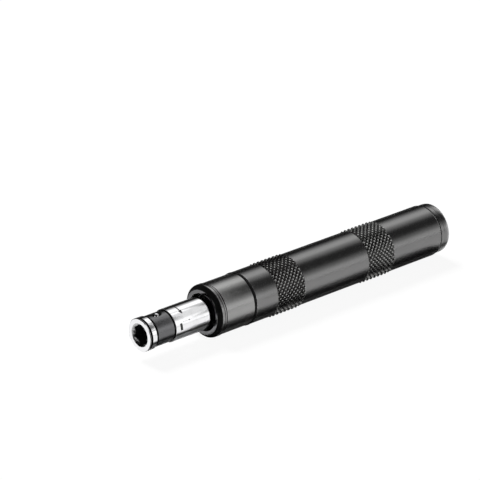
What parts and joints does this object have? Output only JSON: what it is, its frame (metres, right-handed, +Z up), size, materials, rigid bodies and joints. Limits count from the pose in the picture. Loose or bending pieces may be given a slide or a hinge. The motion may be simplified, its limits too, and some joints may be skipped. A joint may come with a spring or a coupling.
{
  "type": "hand impact driver",
  "caption": "Slim hand impact driver with a quarter-inch hex bit holder, knurled barrel and striking cap; a blow drives the holder in and turns it.",
  "frame": {"origin": "on the ground under the middle of the tool, which lies on its knurled bands", "axes": "X along the tool from the bit socket to the striking cap, +Z up, Y across"},
  "size_m": [0.1368, 0.0194, 0.0194],
  "materials": {
    "chrome": "polished chrome plate",
    "black_oxide": "black oxide, satin",
    "ball_steel": "polished ball steel",
    "black_body": "satin black finish on turned steel",
    "nose_black": "satin black with a bare turned face",
    "cap_black": "satin black on hardened steel",
    "inner_steel": "ground steel",
    "bronze": "sintered bronze",
    "spring_steel": "oil-tempered spring wire",
    "black_rubber": "moulded rubber"
  },
  "bodies": {
    "tool_body": {"nose_nut": "nose_black", "nose_circlip": "spring_steel", "dust_seal": "black_rubber", "nose_bush": "bronze", "stop_washer": "inner_steel", "front_collar": "black_body", "collar_ring": "black_rubber", "cam_sleeve": "inner_steel", "cam_dowels": "inner_steel", "barrel": "black_body", "return_spring": "spring_steel", "spring_seat": "inner_steel", "striking_cap": "cap_black", "cap_ring": "black_rubber"},
    "carriage": {"spring_plunger": "inner_steel", "pivot_ball": "ball_steel"},
    "bit_spindle": {"spindle": "inner_steel", "bit_holder": "chrome", "holder_screw": "inner_steel", "retaining_sleeve": "black_oxide", "drive_pin": "inner_steel"},
    "detent": {"detent_ball": "ball_steel"}
  },
  "joints": [
    {"name": "spindle_plunge", "type": "slide", "parent": "tool_body", "child": "carriage", "axis": [1, 0, 0], "range_m": [0, 0.004], "stiffness_N_per_m": 2400, "springref_m": -0.003, "deforming": ["return_spring"]},
    {"name": "spindle_turn", "type": "hinge", "parent": "carriage", "child": "bit_spindle", "pos_m": [0, 0, 0.0097], "axis": [1, 0, 0], "range_deg": [0, 20]},
    {"name": "ball_detent", "type": "slide", "parent": "bit_spindle", "child": "detent", "axis": [0, 0, 1], "range_m": [0, 0.0004], "stiffness_N_per_m": 500, "springref_m": -0.0004, "deforming": ["retaining_sleeve"]}
  ],
  "couplings": [
    {"joint": "spindle_turn", "follows": "spindle_plunge", "rad_per_m": 87.266}
  ]
}
